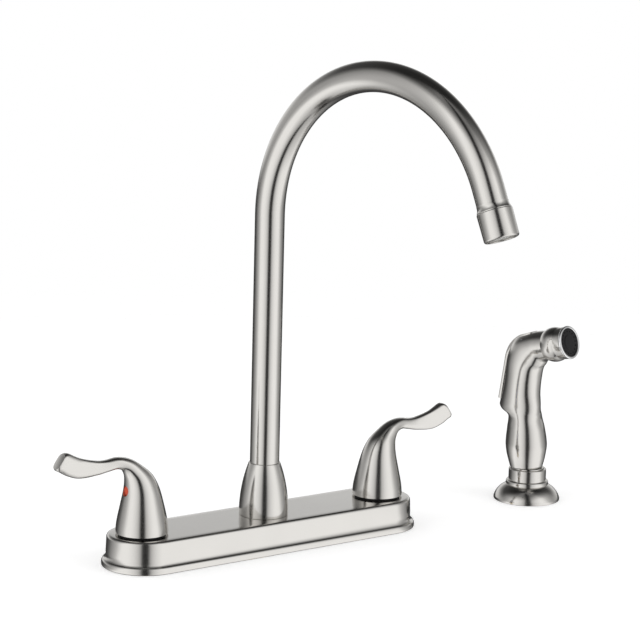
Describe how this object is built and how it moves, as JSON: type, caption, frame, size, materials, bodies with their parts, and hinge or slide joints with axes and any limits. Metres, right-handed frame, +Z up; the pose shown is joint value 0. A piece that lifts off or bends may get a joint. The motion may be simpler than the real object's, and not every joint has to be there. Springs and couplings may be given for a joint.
{
  "type": "two handle kitchen faucet with high bent spout and side spray",
  "caption": "Kitchen faucet in brushed nickel with a long deck plate, a paddle lever on each side of a high arched swivel spout, and a side spray in a holder of its own",
  "frame": {"origin": "on the spout's swivel axis, on the plane where the deck plate and the sprayer's flange rest on the sink deck", "axes": "+X to the right of someone who stands at the sink, along the deck plate towards the side spray, +Y away from them to the wall, +Z up"},
  "size_m": [0.4389, 0.2506, 0.3968],
  "materials": {
    "brushed_nickel": "satin brushed nickel",
    "chrome": "polished",
    "brass": "cast and machined",
    "copper": "drawn tube",
    "spring_steel": "bright wire",
    "ceramic": "lapped",
    "black_plastic": "moulded",
    "white_plastic": "moulded",
    "red_plastic": "moulded",
    "blue_plastic": "moulded",
    "black_rubber": "moulded"
  },
  "bodies": {
    "deck_unit": {"deck_plate": "brushed_nickel", "base_pan": "black_plastic", "spout_hub": "brass", "diverter_seat": "brass", "spout_nut": "brass", "spout_thrust_washer": "white_plastic", "spout_bell": "brushed_nickel", "holder_flange": "brushed_nickel", "holder_collar": "brushed_nickel", "holder_washer": "black_plastic", "holder_nut": "black_plastic", "hot_valve_body": "brass", "hot_cross_tube": "copper", "hot_shank_washer": "black_plastic", "hot_lock_nut": "black_plastic", "hot_seat_seal": "black_rubber", "hot_cartridge_housing": "white_plastic", "hot_fixed_disc": "ceramic", "hot_bonnet_nut": "brass", "hot_base_ring": "black_plastic", "cold_valve_body": "brass", "cold_cross_tube": "copper", "cold_shank_washer": "black_plastic", "cold_lock_nut": "black_plastic", "cold_seat_seal": "black_rubber", "cold_cartridge_housing": "white_plastic", "cold_fixed_disc": "ceramic", "cold_bonnet_nut": "brass", "cold_base_ring": "black_plastic"},
    "spout": {"spout_tube": "brushed_nickel", "spout_foot": "brass", "spout_o_ring_lower": "black_rubber", "spout_o_ring_upper": "black_rubber", "spout_tip_ring": "brushed_nickel", "aerator_washer": "black_rubber", "aerator_insert": "white_plastic", "aerator_housing": "brushed_nickel"},
    "diverter": {"diverter_piston": "white_plastic"},
    "hot_handle": {"hot_handle_shell": "brushed_nickel", "hot_stem": "brass", "hot_moving_disc": "ceramic", "hot_set_screw": "spring_steel", "hot_index_button": "red_plastic"},
    "cold_handle": {"cold_handle_shell": "brushed_nickel", "cold_stem": "brass", "cold_moving_disc": "ceramic", "cold_set_screw": "spring_steel", "cold_index_button": "blue_plastic"},
    "hose_end": {"hose_coupling": "brushed_nickel", "coupling_clip": "spring_steel"},
    "sprayer": {"sprayer_body": "brushed_nickel", "nozzle_rim": "chrome", "nozzle_face": "black_plastic", "trigger_pin": "spring_steel"},
    "plunger": {"valve_plunger": "brass"},
    "trigger_lever": {"trigger": "brushed_nickel"}
  },
  "joints": [
    {"name": "spout_swivel", "type": "hinge", "parent": "deck_unit", "child": "spout", "pos_m": [0, 0, 0.05], "axis": [0, 0, 1], "continuous": true},
    {"name": "hot_turn", "type": "hinge", "parent": "deck_unit", "child": "hot_handle", "pos_m": [-0.1016, 0, 0.03], "axis": [0, 0, 1], "range_deg": [0, 90]},
    {"name": "cold_turn", "type": "hinge", "parent": "deck_unit", "child": "cold_handle", "pos_m": [0.1016, 0, 0.03], "axis": [0, 0, 1], "range_deg": [-90, 0]},
    {"name": "sprayer_lift", "type": "slide", "parent": "deck_unit", "child": "hose_end", "axis": [0, 0, 1], "range_m": [0, 0.06]},
    {"name": "sprayer_turn", "type": "hinge", "parent": "hose_end", "child": "sprayer", "pos_m": [0.2478, 0, 0.03], "axis": [0, 0, 1], "continuous": true},
    {"name": "trigger_press", "type": "hinge", "parent": "sprayer", "child": "trigger_lever", "pos_m": [0.24679, 0.00398, 0.124], "axis": [-0.9694, -0.2453, 0], "range_deg": [0, 6.2], "stiffness_Nm_per_rad": 2, "springref_deg": -11.46},
    {"name": "plunger_slide", "type": "slide", "parent": "sprayer", "child": "plunger", "axis": [0.2453, -0.9694, 0], "range_m": [0, 0.0027]},
    {"name": "diverter_lift", "type": "slide", "parent": "deck_unit", "child": "diverter", "axis": [0, 0, 1], "range_m": [0, 0.004]}
  ],
  "couplings": [
    {"joint": "trigger_press", "follows": "plunger_slide", "rad_per_m": 38.61},
    {"joint": "diverter_lift", "follows": "plunger_slide", "ratio": 1.45}
  ]
}
